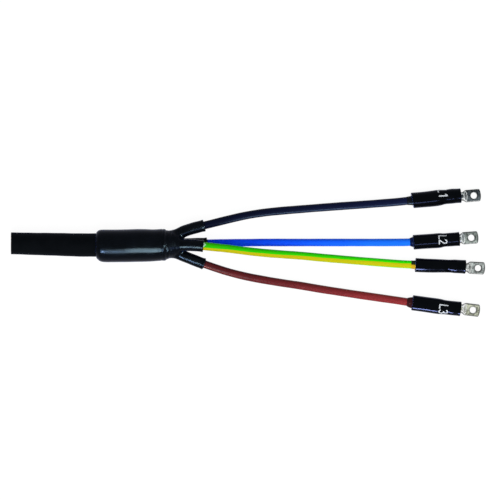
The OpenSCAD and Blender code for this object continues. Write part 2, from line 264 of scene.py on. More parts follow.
def nets(field, low, high, step):
    """Quads on the zero level of a field of x, y and z, evened out and drawn back onto that level."""
    axes = [np.arange(a, b + step, step) for a, b in zip(low, high)]
    values = field(axes[0][:, None, None], axes[1][None, :, None], axes[2][None, None, :])
    values = np.broadcast_to(values, [len(a) for a in axes])
    inside = values < 0
    cells = [n - 1 for n in inside.shape]
    corners = list(itertools.product((0, 1), repeat=3))
    full = sum(inside[dx:cells[0] + dx, dy:cells[1] + dy, dz:cells[2] + dz].astype(np.int8)
               for dx, dy, dz in corners)
    active = (full > 0) & (full < len(corners))
    index = np.full(active.shape, -1)
    index[active] = np.arange(active.sum())
    cell = np.argwhere(active)
    total, hits = np.zeros(cell.shape), np.zeros(len(cell))
    for a, b in itertools.combinations(corners, 2):
        if sum(abs(i - j) for i, j in zip(a, b)) != 1:
            continue
        va, vb = values[tuple((cell + a).T)], values[tuple((cell + b).T)]
        crossed = (va < 0) != (vb < 0)
        share = (va[crossed] / (va[crossed] - vb[crossed]))[:, None]
        total[crossed] += np.array(a) + share * (np.array(b) - np.array(a))
        hits[crossed] += 1
    points = np.array(low) + step * (cell + total / hits[:, None])
    quads = []
    for axis in range(3):
        u, v = (axis + 1) % 3, (axis + 2) % 3
        near = inside[tuple(slice(0, -1) if k == axis else slice(1, -1) for k in range(3))]
        far = inside[tuple(slice(1, None) if k == axis else slice(1, -1) for k in range(3))]
        for flip, at in ((False, near & ~far), (True, ~near & far)):
            base = np.argwhere(at)
            ring = []
            for du, dv in ((0, 0), (1, 0), (1, 1), (0, 1)):
                c = base.copy()
                c[:, u] += du
                c[:, v] += dv
                ring.append(index[tuple(c.T)])
            quads.append(np.stack(ring[::-1] if flip else ring, axis=1))
    quads = np.concatenate(quads)
    for _ in range(EVENING_ROUNDS):
        points = drawn_back(field, evened(points, quads), step)
    return points, quads


def evened(points, quads):
    """Each point halfway to the mean of its neighbours."""
    a, b = quads.ravel(), np.roll(quads, -1, axis=1).ravel()
    a, b = np.concatenate([a, b]), np.concatenate([b, a])
    count = np.bincount(a, minlength=len(points))
    mean = np.stack([np.bincount(a, points[b, i], len(points)) / count for i in range(3)], axis=1)
    return (points + mean) / 2


def drawn_back(field, points, step):
    """Points moved along the field's slope onto its zero level, by half a cell at most."""
    nudge, flattest, tiny = 0.02, 0.05, 1e-9
    here = field(*points.T)
    slope = np.stack([(field(*(points + nudge * e).T) - here) / nudge for e in np.eye(3)], axis=1)
    move = -here[:, None] * slope / np.maximum((slope**2).sum(1), flattest)[:, None]
    size = np.linalg.norm(move, axis=1, keepdims=True)
    return points + move * np.minimum(1, 0.5 * step / np.maximum(size, tiny))


def outward(field, points):
    """Unit vectors square to a field's zero level."""
    nudge = 0.04
    steps = [field(*(points + nudge * e).T) - field(*(points - nudge * e).T) for e in np.eye(3)]
    return units(np.stack(steps, axis=1))


def least(a, b, k):
    """Union of two fields with a fillet of about k."""
    h = np.clip(0.5 + 0.5 * (b - a) / k, 0, 1)
    return b + (a - b) * h - k * h * (1 - h)


def most(a, b, k):
    """Intersection of two fields with a rounding of about k."""
    return -least(-a, -b, k)


def turned_to(vectors, along, side, up):
    return vectors[:, :1] * along + vectors[:, 1:2] * side + vectors[:, 2:] * up


def with_sleeve(core, vectors):
    """Vectors of a sleeve's own frame, turned as the sleeve is."""
    along = lug_heading(core)
    return turned_to(vectors, along, np.cross(UP, along), UP)


def at_sleeve(core):
    """Function that takes points of a sleeve's own frame to the part's frame."""
    def place(points):
        return MOUTHS[core] + with_sleeve(core, points)
    return place


def dress(obj, slot, material, *nodes):
    """Gives a piece its material and its place on the part, and hides the CAD nodes that it stands for."""
    obj.data.materials.clear()
    obj.data.materials.append(material)
    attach(obj, "root")
    if nodes:
        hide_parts(*nodes)
    return obj


# Camera, straight above what the picture's middle shows

PICTURE_MIDDLE = (150.4, -4.9)
PICTURE_WIDTH = 490.0
LENS, SENSOR = 150.0, 36.0
FARTHEST_SEEN_M = 20

camera_data = bpy.data.cameras.new("camera")
camera_data.lens = LENS
camera_data.sensor_width = SENSOR
camera_data.clip_end = FARTHEST_SEEN_M
camera = bpy.data.objects.new("camera", camera_data)
camera.location = (PICTURE_MIDDLE[0] * MM, PICTURE_MIDDLE[1] * MM, PICTURE_WIDTH * MM * LENS / SENSOR)
bpy.context.scene.collection.objects.link(camera)
bpy.context.scene.camera = camera


# Materials

# Range that a noise mostly stays in, and numbers of the colour sockets of a Mix node
NOISE_LOW, NOISE_HIGH = 0.3, 0.7
MIX_SHARE, MIX_A, MIX_B, MIX_RESULT = 0, 6, 7, 2
OPAQUE = 1.0


class Shader:
    """The nodes of a material or of the world, made one at a time."""

    def __init__(self, owner):
        owner.use_nodes = True
        self.owner = owner
        self.tree = owner.node_tree
        self.tree.nodes.clear()

    def node(self, kind, inputs=None, **settings):
        made = self.tree.nodes.new("ShaderNode" + kind)
        for key, value in settings.items():
            setattr(made, key, value)
        for key, value in (inputs or {}).items():
            socket = made.inputs[key]
            if isinstance(value, bpy.types.NodeSocket):
                self.tree.links.new(value, socket)
            elif socket.type == "RGBA":
                socket.default_value = (*value, OPAQUE)
            elif value is not None:
                socket.default_value = value
        return made

    def coordinates(self, attribute=None):
        """A piece's own straightened coordinates, or its place in the part's frame."""
        if attribute:
            return self.node("Attribute", attribute_name=attribute).outputs["Vector"]
        return self.node("TexCoord").outputs["Object"]

    def axes(self, vector):
        return self.node("SeparateXYZ", {"Vector": vector}).outputs

    def stretched(self, vector, scale):
        return self.node("Mapping", {"Vector": vector, "Scale": scale}).outputs["Vector"]

    def noise(self, vector, scale, detail=3.0, roughness=0.5):
        return self.node("TexNoise", {"Vector": vector, "Scale": scale, "Detail": detail,
                                      "Roughness": roughness}).outputs["Fac"]

    def spread(self, value, low, high, low_to=0.0, high_to=1.0):
        """A value's range taken to another range."""
        return self.node("MapRange", {"Value": value, "From Min": low, "From Max": high,
                                      "To Min": low_to, "To Max": high_to}).outputs["Result"]

    def ranged(self, noise, low_to=0.0, high_to=1.0):
        """A noise's usual range taken to another range."""
        return self.spread(noise, NOISE_LOW, NOISE_HIGH, low_to, high_to)

    def math(self, operation, a, b=0.0):
        return self.node("Math", {0: a, 1: b}, operation=operation).outputs["Value"]

    def largest(self, *values):
        found = values[0]
        for value in values[1:]:
            found = self.math("MAXIMUM", found, value)
        return found

    def vector_math(self, operation, a, b, result):
        return self.node("VectorMath", {0: a, 1: b}, operation=operation).outputs[result]

    def mix(self, share, a, b):
        inputs = {MIX_SHARE: share, MIX_A: a, MIX_B: b}
        return self.node("Mix", inputs, data_type="RGBA").outputs[MIX_RESULT]

    def bump(self, height, strength, distance, normal=None):
        inputs = {"Height": height, "Strength": strength, "Distance": distance, "Normal": normal}
        return self.node("Bump", inputs).outputs["Normal"]

    def surface(self, colour, roughness, normal, **settings):
        """Ends a material with the usual shader; a setting's name has _ for each space."""
        inputs = {"Base Color": colour, "Roughness": roughness, "Normal": normal}
        inputs.update({key.replace("_", " "): value for key, value in settings.items()})
        return self.finish(self.node("BsdfPrincipled", inputs).outputs[0])

    def finish(self, shader, output="OutputMaterial"):
        self.node(output, {"Surface": shader})
        return self.owner


def new_material(name):
    return Shader(bpy.data.materials.new(name))


# In the functions below, noise has waves per metre, and bump has a depth in metres
COOL = (0.74, 0.88, 1.0)
RIM_BLUE = (0.12, 0.25, 1.0)


def black_plastic(name, dark, pale, rough, shine, attribute, grain, lines, sheen):
    """Black heat-shrink or sheath: patchy tone and gloss, a fine grain and lines along the piece."""
    s = new_material(name)
    at = s.coordinates(attribute)
    patches = s.noise(at, 90.0, 4.0, 0.6)
    fine = s.noise(at, 900.0, 2.0)
    drawn = s.noise(s.stretched(at, (0.04, 1.0, 1.0)), 900.0, 3.0)
    colour = s.mix(s.ranged(patches), dark, pale)
    gloss = s.math("ADD", s.spread(patches, 0.25, 0.75, *rough), s.ranged(fine, -0.015, 0.015))
    normal = s.bump(drawn, lines, 0.0004)
    normal = s.bump(s.noise(at, 330.0, 2.0), grain, 0.0006, normal)
    normal = s.bump(fine, grain, 0.0002, normal)
    return s.surface(colour, gloss, normal, Specular_IOR_Level=shine, Specular_Tint=COOL, Sheen_Weight=sheen,
                     Sheen_Roughness=0.3, Sheen_Tint=RIM_BLUE)


# Distances along a core's line between which its colour goes from the painted shade near the boot to the
# painted light near the sleeve
PAINTED_SHADE_UNTIL, PAINTED_LIGHT_FROM = 50.0, 250.0


def core_texture(s):
    """What all cores share: place, share of the far colour, which paints light that grows towards the
    sleeves, blotches and faint lines from extrusion.
    """
    at = s.coordinates("straight")
    xyz = s.axes(at)
    # Painted light: the colour lightens along the core from the boot towards the sleeve
    length = s.spread(xyz["X"], PAINTED_SHADE_UNTIL * MM, PAINTED_LIGHT_FROM * MM)
    blotches = s.noise(s.stretched(at, (0.25, 1.0, 1.0)), 160.0, 4.0, 0.6)
    share = s.math("ADD", length, s.ranged(blotches, -0.1, 0.1))
    drawn = s.noise(s.stretched(at, (0.03, 1.0, 1.0)), 1100.0, 2.0)
    return at, xyz, share, blotches, drawn


def core_plastic(name, near, far, shine, rough=(0.30, 0.44)):
    """Insulation of one colour, with painted shade near the boot that gives way to painted light towards the
    sleeve.
    """
    s = new_material(name)
    _, _, share, blotches, drawn = core_texture(s)
    return s.surface(s.mix(share, near, far), s.ranged(blotches, *rough),
                     s.bump(drawn, 0.06, 0.0003), Specular_IOR_Level=shine, Specular_Tint=COOL)


# Half width of a stripe, its place at the start of the core's line, its turn per metre, wander and soft edge
STRIPE_HALF, STRIPE_START, STRIPE_TURN = (math.radians(a) for a in (38, 152.148, -155))
STRIPE_WANDER, STRIPE_EDGE = 0.15, 0.03


def striped_plastic(name, green_in_shade, green_in_light, yellow_in_shade, yellow_in_light):
    """Green insulation with two opposite yellow stripes that turn slowly about the core, with painted shade
    near the boot and painted light towards the sleeve.
    """
    s = new_material(name)
    at, xyz, share, blotches, drawn = core_texture(s)
    wobble = s.noise(s.stretched(at, (0.5, 0.0, 0.0)), 60.0, 1.0)
    centre = s.math("ADD", s.math("MULTIPLY", xyz["X"], STRIPE_TURN),
                    s.spread(wobble, 0.0, 1.0, -STRIPE_WANDER, STRIPE_WANDER))
    angle = s.math("ARCTAN2", xyz["Z"], xyz["Y"])
    off = s.math("SUBTRACT", angle, s.math("ADD", centre, STRIPE_START))
    nearest = s.math("ABSOLUTE", s.math("ARCSINE", s.math("SINE", off)))
    stripe = s.spread(nearest, STRIPE_HALF - STRIPE_EDGE, STRIPE_HALF + STRIPE_EDGE, 1.0, 0.0)
    colour = s.mix(stripe, s.mix(share, green_in_shade, green_in_light),
                   s.mix(share, yellow_in_shade, yellow_in_light))
    return s.surface(colour, s.ranged(blotches, 0.32, 0.46), s.bump(drawn, 0.12, 0.0003),
                     Specular_IOR_Level=0.05)


# Colour of the painted dark reflections at a lug's walls, edges, tip and ring round the hole
PAINTED_EDGE_SHADE = (0.016, 0.018, 0.019)
SPECK_DARK = (0.03, 0.03, 0.027)


def tinned_metal(name, dull, bright, slope, painted_light_lean, near):
    """Tin on copper, cloudy on flats, with dark specks; a painted highlight on the slope to the palm, painted
    light leaning across the palm, and painted dark reflections at walls, edges, tip and round the hole.
    """
    s = new_material(name)
    at = s.coordinates()
    own = s.coordinates("straight")
    xyz = s.axes(own)
    facing = s.axes(s.node("TexCoord").outputs["Normal"])
    clouds = s.noise(at, 380.0, 2.5, 0.6)
    specks = s.noise(at, 800.0, 2.0, 0.6)
    scratches = s.noise(s.stretched(at, (1.0, 0.08, 1.0)), 2600.0, 2.0)

    def between(axis, start, end, start_to=0.0, end_to=1.0):
        return s.spread(xyz[axis], start * MM, end * MM, start_to, end_to)

    half = PALM_W / 2
    # Painted dark reflections: bands along both long edges and the tip, a ring round the hole, and walls that
    # face sideways
    far_side = between("Y", half - 1.9, half - 0.8)
    near_side = between("Y", 1.3 - half, 0.7 - half, 0.0, near)
    tip = between("X", LUG_LEN - 1.9, LUG_LEN - 0.7, 0.0, 0.9)
    in_plan = s.vector_math("MULTIPLY", own, (1, 1, 0), "Vector")
    from_hole = s.vector_math("DISTANCE", in_plan, ((LUG_LEN - HOLE_TO_TIP) * MM, 0, 0), "Value")
    ring = s.math("MULTIPLY", s.spread(from_hole, (HOLE_R + 0.4) * MM, (HOLE_R + 1.8) * MM, 1.0, 0.0),
                  s.spread(s.noise(at, 140.0, 1.0), 0.35, 0.65, 0.4, 1.0))
    wall = s.spread(s.math("ABSOLUTE", facing["Y"]), 0.5, 0.9)
    painted_shade_mask = s.math("MULTIPLY", s.largest(ring, wall, far_side, near_side, tip),
                  s.spread(specks, 0.35, 0.65, 1.0, 0.75))

    # Painted highlight: the slope into the palm is pale, paler towards -Y; the flats get painted light that
    # leans across the palm. The way a surface faces picks between them.
    patch = s.spread(clouds, 0.38, 0.62)
    painted_slope_highlight = s.mix(s.math("ADD", patch, between("Y", 1.0, -3.0, -0.15, 0.35)), slope[0], slope[1])
    level = s.mix(s.math("ADD", patch, between("Y", -4.0, 4.0, painted_light_lean, -painted_light_lean)), dull, bright)
    flat = s.spread(s.math("ABSOLUTE", facing["Z"]), 0.86, 0.97)
    tone = s.mix(painted_shade_mask, s.mix(flat, painted_slope_highlight, level), PAINTED_EDGE_SHADE)
    colour = s.mix(s.spread(specks, 0.56, 0.63, 0.0, 0.8), tone, SPECK_DARK)
    normal = s.bump(scratches, 0.15, 0.0002, s.bump(clouds, 0.18, 0.0008))
    return s.surface(colour, s.ranged(clouds, 0.42, 0.24), normal, Metallic=1.0)


def hot_melt(name, dark, pale, shine, sided=False):
    """Hot-melt sealant squeezed out: glossy and streaky, or pale on its -Y side only."""
    s = new_material(name)
    at = s.coordinates("straight")
    streaks = s.noise(s.stretched(at, (0.4, 1.0, 1.0)), 420.0, 3.0, 0.6)
    share = s.ranged(streaks)
    if sided:
        pale_side = s.spread(s.axes(at)["Y"], 0.4 * MM, -0.8 * MM)
        share = s.math("MULTIPLY", pale_side, s.ranged(streaks, 0.7, 1.0))
    return s.surface(s.mix(share, dark, pale), s.ranged(streaks, 0.12, 0.28),
                     s.bump(streaks, 0.25, 0.0004), Specular_IOR_Level=shine, Specular_Tint=COOL)


def mottled(name, dark, pale, rough, metallic, scale, shine=0.4):
    """Plain mottled finish for the pieces of the cable's cut end and the marks."""
    s = new_material(name)
    at = s.coordinates()
    patches = s.noise(at, scale, 4.0, 0.6)
    colour = s.mix(s.ranged(patches), dark, pale)
    normal = s.bump(s.noise(at, 3 * scale, 2.0), 0.25, 0.0003)
    return s.surface(colour, s.ranged(patches, *rough), normal, Metallic=metallic, Specular_IOR_Level=shine)


BLACK = {
    "boot": black_plastic("boot_black", (0.0006, 0.0010, 0.0018), (0.0016, 0.0022, 0.0038), (0.15, 0.27),
                          shine=0.04, attribute=None, grain=0.012, lines=0.015, sheen=0.3),
    "sleeve": black_plastic("sleeve_black", (0.0004, 0.0005, 0.0009), (0.0010, 0.0012, 0.0020), (0.11, 0.18),
                            shine=0.035, attribute="straight", grain=0.008, lines=0.012, sheen=0.3),
    "sheath": black_plastic("sheath_black", (0.0012, 0.0016, 0.0022), (0.0026, 0.0032, 0.0042), (0.62, 0.75),
                            shine=0.025, attribute="straight", grain=0.12, lines=0.20, sheen=0.08),
}
# For each core, its colour near the boot and its colour near the sleeve; the change between them is painted
# shade giving way to painted light
CORE_LOOK = {
    "l1": core_plastic("insulation_black", (0.0006, 0.0014, 0.010), (0.0042, 0.0068, 0.034), 0.05),
    "l2": core_plastic("insulation_blue", (0.001, 0.034, 0.96), (0.011, 0.175, 1.0), 0.05),
    "pe": striped_plastic("insulation_green_yellow", (0.026, 0.46, 0.001), (0.040, 0.96, 0.002),
                          (0.46, 0.39, 0.002), (0.53, 0.51, 0.004)),
    "l3": core_plastic("insulation_brown", (0.060, 0.006, 0.008), (0.245, 0.0225, 0.0245), 0.08, (0.2, 0.28)),
}
# The lugs are alike, and the tones that set them apart are partly their own tin and partly painted
# reflection. The slope colours are the painted highlight into the palm, the lean is painted light across the
# palm, and near is the share of painted shade on the -Y edge.
TINNED = {
    "l1": tinned_metal("tinned_dark", (0.016, 0.020, 0.025), (0.125, 0.15, 0.165),
                       slope=((0.30, 0.34, 0.34), (0.98, 1.0, 1.0)), painted_light_lean=0.4, near=0.3),
    "l2": tinned_metal("tinned_grey", (0.13, 0.152, 0.143), (0.40, 0.46, 0.43),
                       slope=((0.48, 0.54, 0.57), (0.98, 1.0, 1.0)), painted_light_lean=0.3, near=0.45),
    "pe": tinned_metal("tinned_pale", (0.20, 0.22, 0.215), (0.58, 0.64, 0.62),
                       slope=((0.40, 0.41, 0.40), (0.98, 1.0, 0.98)), painted_light_lean=-0.25, near=0.5),
    "l3": tinned_metal("tinned_warm", (0.25, 0.265, 0.205), (0.64, 0.67, 0.53),
                       slope=((0.86, 0.88, 0.90), (1.0, 1.0, 1.0)), painted_light_lean=-0.3, near=1.0),
}
SEALANT = {
    "l1": hot_melt("sealant_dark", (0.0006, 0.0008, 0.002), (0.003, 0.004, 0.009), 0.06),
    "l2": hot_melt("sealant_navy", (0.0010, 0.0026, 0.020), (0.003, 0.010, 0.075), 0.05),
    "pe": hot_melt("sealant_amber", (0.016, 0.026, 0.007), (0.72, 0.43, 0.008), 0.06, sided=True),
    "l3": hot_melt("sealant_brown", (0.014, 0.0024, 0.003), (0.045, 0.008, 0.010), 0.06),
}
BEAD_SEALANT = dict(SEALANT)
BEAD_SEALANT["pe"] = hot_melt("sealant_pale", (0.30, 0.62, 0.34), (0.60, 0.84, 0.62), 0.3)
COPPER = mottled("bare_copper", (0.42, 0.15, 0.07), (0.80, 0.38, 0.20), (0.25, 0.45), 1.0, 900.0)
FILLER = mottled("filling_compound", (0.012, 0.012, 0.013), (0.035, 0.034, 0.033), (0.6, 0.8), 0.0, 700.0,
                 shine=0.2)
INK = mottled("mark_ink", (0.48, 0.51, 0.56), (0.76, 0.79, 0.80), (0.4, 0.6), 0.0, 1600.0)


# Cores, as cords

CORD_STEP = 1.2


def core_radius(core, phase):
    """Slightly uneven insulation."""
    def radius(s, angle):
        thickness = 0.035 * np.sin(0.11 * s + phase)
        oval = 0.02 * np.sin(0.31 * s + 2 * angle + 2 * phase)
        return SKIN_R[core] + thickness + oval
    return radius


cords, cord_runs = {}, {}
for number, core in enumerate(CORES):
    first = FINGER_REACH[core] - CORD_INSIDE
    last = LINES[core].length - LINE_INSIDE + CORD_INSIDE
    runs = np.linspace(first, last, int((last - first) / CORD_STEP))
    tube = tube_object(f"core_{core}", LINES[core], runs, core_radius(core, number))
    cords[core] = dress(tube, f"insulation_{core}", CORE_LOOK[core], f"insulation_{core}")
    cord_runs[core] = runs


# Breakout boot

# The body, its gathered neck and the web between the fingers: distance along, middle towards +Y, radius
BODY = [(0, -0.2, 13.0), (0.8, -0.25, 13.7), (1.6, -0.3, 14.35), (2.6, -0.43, 15.0), (3.8, -0.6, 15.48),
        (6, -0.82, 15.84), (9, -0.92, 15.97), (16, -0.9, 15.99), (24, -0.8, 16.07), (32, -0.62, 16.16),
        (40, -0.4, 16.13), (48, -0.36, 15.98), (55, -0.36, 15.7), (60, -0.1, 15.64), (64, 0.14, 15.68),
        (66, 0.15, 15.55), (67.5, 0.0, 15.12), (69, -0.05, 14.38), (70.5, 0.15, 13.75), (72, 0.5, 13.45),
        (74, 0.9, 13.2), (77, 0.85, 12.6), (80, 0.7, 11.4), (83, 0.7, 9.2), (86, 0.7, 6.2), (88, 0.7, 3.2)]
BODY_X, BODY_MID, BODY_RADIUS = zip(*BODY)
BODY_BORE_SHOWN = 8.0
FINGER_BORE_SHOWN = 10.0
FINGER_FROM = 60.0
CROTCH_FILLET = 2.2
MOUTH_ROUNDING, WEB_ROUNDING, BORE_ROUNDING, FINGER_ROUNDING, EDGE_ROUNDING = 0.8, 1.0, 0.2, 0.6, 0.3
# Puckers of the neck: place, depth (outwards if positive), width, slant and turn in radians
PUCKERS = [(64.3, -0.25, 0.6, 0.2, 0.6), (67.0, 0.50, 1.2, 0.5, 2.2), (68.8, -0.45, 0.8, 0.6, 4.0),
           (70.6, 0.45, 1.1, 0.9, 5.2), (72.7, -0.50, 0.9, 0.9, 1.1), (74.8, 0.45, 1.3, 1.2, 3.0),
           (77.4, -0.45, 1.1, 1.0, 5.8), (80.0, 0.30, 1.2, 1.0, 0.2)]


def body_field(x, y, z):
    """Outside of the boot's body, with its puckers and a slight unevenness."""
    aside = y - through(BODY_X, BODY_MID, x)
    angle = np.arctan2(z, aside)
    radius = through(BODY_X, BODY_RADIUS, x)
    radius = radius + 0.06 * np.sin(0.16 * x + 2 * angle) + 0.05 * np.sin(0.09 * x - 3 * angle + 1.0)
    for place, depth, width, slant, turn in PUCKERS:
        ring = place + slant * np.sin(angle + turn) + 0.35 * np.sin(3 * angle + 2 * turn)
        strength = 0.7 + 0.3 * np.cos(2 * angle - turn)
        radius = radius + depth * strength * np.exp(-((x - ring) / width) ** 2)
    return np.sqrt(aside**2 + z**2) - radius


FINGER_POINTS, PAST_MOUTH = 400, 10


def finger_axis(core):
    """Dense points of a finger's line, and the place and direction of its mouth."""
    line = LINES[core]
    points = line.at(np.linspace(0, FINGER_REACH[core] + PAST_MOUTH, FINGER_POINTS))
    mouth, along, _, _ = line.frames(np.array([FINGER_REACH[core]]))
    return points, mouth[0], along[0]


FINGER_AXES = {core: finger_axis(core) for core in CORES}


def finger_fields(core, x, y, z):
    """Distance from a finger's line, and distance past its mouth."""
    points, mouth, heading = FINGER_AXES[core]
    centre = [np.interp(x, points[:, 0], points[:, i]) for i in (1, 2)]
    slope = [np.interp(x, points[:, 0], np.gradient(points[:, i], points[:, 0])) for i in (1, 2)]
    size = np.sqrt(1 + slope[0] ** 2 + slope[1] ** 2)
    dy, dz = y - centre[0], z - centre[1]
    along = (dy * slope[0] + dz * slope[1]) / size
    off = np.sqrt(np.maximum(dy**2 + dz**2 - along**2, 0))
    past = (x - mouth[0]) * heading[0] + (y - mouth[1]) * heading[1] + (z - mouth[2]) * heading[2]
    return off, past


def boot_field(x, y, z):
    """The boot with its bores cut out, flat where it rests."""
    made = most(body_field(x, y, z), -x, MOUTH_ROUNDING)
    made = most(made, x - BODY_X[-1], WEB_ROUNDING)
    bores = most(np.sqrt(y**2 + z**2) - BOOT_BORE_R, x - BODY_BORE_SHOWN, BORE_ROUNDING)
    for core in CORES:
        off, past = finger_fields(core, x, y, z)
        rim = 0.22 * np.exp(-((past + 0.8) / 1.3) ** 2) + 0.05 * np.sin(0.5 * past)
        finger = most(off - FINGER_BORE_R - FINGER_WALL[core] - rim, past, FINGER_ROUNDING)
        made = least(made, np.maximum(finger, FINGER_FROM - x), CROTCH_FILLET)
        bores = np.minimum(bores, np.maximum(off - FINGER_BORE_R, -past - FINGER_BORE_SHOWN))
    made = most(made, FLOOR_Z + FLOOR_GAP - z, EDGE_ROUNDING)
    return most(made, -bores, EDGE_ROUNDING)


points, quads = nets(boot_field, low=(-1.5, -29.0, -17.0), high=(112.0, 29.0, 17.0), step=0.46)
boot = mesh_object("boot", points, quads, normals=outward(boot_field, points))
dress(boot, "boot", BLACK["boot"], "breakout_boot")


# Cable stub

# Places along the stub, where its middle lies towards +Y there, and its thickness as a share of the solid's
STUB_X = [-90, -83, -50, -20, 0, 10]
STUB_MID = [1.75, 1.62, 0.88, 0.12, 0.0, 0.0]
STUB_SCALE = [0.968, 0.972, 1.006, 1.035, 1.042, 1.03]
# Lean of the cut, as a share of the height, how far it stands past the solid's, and how far along it fades
CUT_LEAN, CUT_PAST, CUT_FADE = 0.11, 0.9, 8.0
CUT_X = -STUB_LEN


def bent_stub(points):
    """The stub's slight bend, its taper towards the cut and the cut's lean."""
    x = points[:, 0]
    scale = through(STUB_X, STUB_SCALE, x)
    near_cut = np.clip((CUT_X + CUT_FADE - x) / CUT_FADE, 0, 1)
    return np.stack([x + near_cut * (CUT_LEAN * points[:, 2] - CUT_PAST),
                     points[:, 1] * scale + through(STUB_X, STUB_MID, x), points[:, 2] * scale], axis=1)


def sheath_unevenness(x, r, angle):
    """Waves on the sheath's outside and a rough saw cut at its end."""
    outside = np.clip((r - FILLER_R - 0.5) / 1.0, 0, 1)
    wave = 0.05 * np.sin(0.13 * x + angle) + 0.04 * np.sin(0.37 * x - 2 * angle + 1)
    saw = 0.10 * np.sin(2 * angle + 0.5) * np.clip((CUT_X + 2 - x) / 2, 0, 1)
    return x + saw, r + outside * wave


SHEATH_IN_BOOT = 3.0
SHEATH_BORE_R = FILLER_R + CLEARANCE
sheath_profile = ([(SHEATH_IN_BOOT, SHEATH_BORE_R), (SHEATH_IN_BOOT, CABLE_R)]
                  + [(x, CABLE_R) for x in np.arange(SHEATH_IN_BOOT - 1.0, CUT_X + 0.9, -1.0)]
                  + [(CUT_X + 0.35, CABLE_R), (CUT_X + 0.1, CABLE_R - 0.12), (CUT_X, CABLE_R - 0.4),
                     (CUT_X, CABLE_R - 1.0), (CUT_X, FILLER_R + 0.25), (CUT_X + 0.15, SHEATH_BORE_R)]
                  + [(x, SHEATH_BORE_R) for x in np.arange(CUT_X + 4, 0, 8.0)])
sheath = turned_object("sheath", sheath_profile, bent_stub, 128, sheath_unevenness)
dress(sheath, "sheath", BLACK["sheath"], "cable_sheath")

# Middle and half length of the filler's end that is shown, and the rounding of its edges
FILLER_MIDDLE, FILLER_HALF, FILLER_ROUNDING = CUT_X + 4.0, 3.7, 0.3


def filler_field(x, y, z):
    """End of the filler between the cores."""
    made = most(np.sqrt(y**2 + z**2) - FILLER_R, np.abs(x - FILLER_MIDDLE) - FILLER_HALF, FILLER_ROUNDING)
    for core in CORES:
        _, cy, cz = lay_at(core, 0)
        off = np.sqrt((y - cy) ** 2 + (z - cz) ** 2)
        made = most(made, CORE_R + CLEARANCE - off, FILLER_ROUNDING)
    return made + 0.08 * np.sin(1.9 * y + 1.0) * np.sin(2.3 * z)


points, quads = nets(filler_field, low=(-84.0, -10.5, -10.5), high=(-74.0, 10.5, 10.5), step=0.3)
dress(mesh_object("filler_end", bent_stub(points), quads), "filler", FILLER, "cable_filler")

END_SHOWN = 9
CORE_BORE_R = CONDUCTOR_R + CLEARANCE
CORE_END = [(CUT_X + END_SHOWN, CORE_BORE_R), (CUT_X + END_SHOWN, CORE_R), (CUT_X + 0.3, CORE_R),
            (CUT_X + 0.05, CORE_R - 0.15), (CUT_X, CORE_R - 0.4), (CUT_X, CORE_BORE_R + 0.15),
            (CUT_X + 0.15, CORE_BORE_R)]
# Seven strands, six of them round the last one: distance from the cut and radius of each ring of points
STRANDS = 7
STRAND_R = CONDUCTOR_R / 3
STRAND_RINGS = [(END_SHOWN, STRAND_R), (0.25, STRAND_R), (0.06, STRAND_R - 0.1), (0, STRAND_R - 0.3),
                (0, 0.02)]
STRAND_AROUND = 24
STRAND_TURN = 17


def strands_object(core, place):
    """Ends of a conductor's strands, cut to slightly different lengths."""
    points, faces = [], []
    angles = angles_round(STRAND_AROUND)
    for number in range(STRANDS):
        turn = math.radians(60 * number + STRAND_TURN)
        off = 0 if number == STRANDS - 1 else 2 * STRAND_R
        y, z = off * math.cos(turn), off * math.sin(turn)
        cut = CUT_X + 0.12 * math.sin(2.1 * number + 2)
        first = len(points)
        for x, r in STRAND_RINGS:
            points += [[cut + x, y + r * math.cos(a), z + r * math.sin(a)] for a in angles]
        faces += [[first + i for i in f] for f in grid_faces(len(STRAND_RINGS), STRAND_AROUND)]
        faces.append(list(range(len(points) - STRAND_AROUND, len(points))))
        faces.append(list(range(first + STRAND_AROUND - 1, first - 1, -1)))
    return mesh_object(f"strands_{core}", place(np.array(points)), faces)


def at_cut(core):
    """Function that takes points about a core's own axis to where the core lies in the stub."""
    def place(points):
        return bent_stub(points + lay_at(core, 0))
    return place


for core in CORES:
    core_end = turned_object(f"core_end_{core}", CORE_END, at_cut(core), 64)
    dress(core_end, f"insulation_{core}", CORE_LOOK[core], f"insulation_{core}")
    dress(strands_object(core, at_cut(core)), "conductor", COPPER, f"conductor_{core}")


# Sleeves, marks, sealant and lugs

# Outside of each sleeve: distance from its mouth, radius, shift towards +Y
SLEEVE_SHAPE = {
    "l1": [(0, 7.65, 0), (10, 7.75, 0), (20, 7.92, 0.2), (26, 7.9, 0.5), (28.5, 7.7, 0.65), (31, 7.3, 0.8),
           (33, 7.15, 0.85), (36, 7.25, 0.95), (39, 7.4, 1.05), (44, 7.2, 1), (46.6, 7.2, 0.9),
           (48, 7.3, 0.9)],
    "l2": [(0, 7.2, -0.4), (10, 7.25, -0.4), (20, 7.3, -0.5), (25.5, 7.28, -0.5), (27.5, 7.1, -0.45),
           (29.5, 6.72, -0.4), (31.5, 6.6, -0.35), (34, 6.66, -0.35), (38, 6.76, -0.35), (42, 6.8, -0.35),
           (44.2, 6.92, -0.35), (45.2, 7.1, -0.35)],
    "pe": [(0, 6.9, -0.2), (10, 6.9, -0.2), (18, 6.8, 0), (24, 6.56, 0.2), (29, 6.42, 0.35), (33, 6.34, 0.45),
           (36, 6.5, 0.55), (38.5, 6.72, 0.55), (43, 6.72, 0.55), (47, 6.74, 0.55), (49.5, 6.84, 0.55)],
    "l3": [(0, 7.5, -0.1), (10, 7.6, -0.2), (20, 7.66, -0.4), (26, 7.6, -0.5), (29, 7.38, -0.55),
           (31, 7.15, -0.6), (34, 7.02, -0.6), (37, 7.08, -0.6), (41, 7.16, -0.55), (46, 7.16, -0.4),
           (48, 7.3, -0.4)],
}
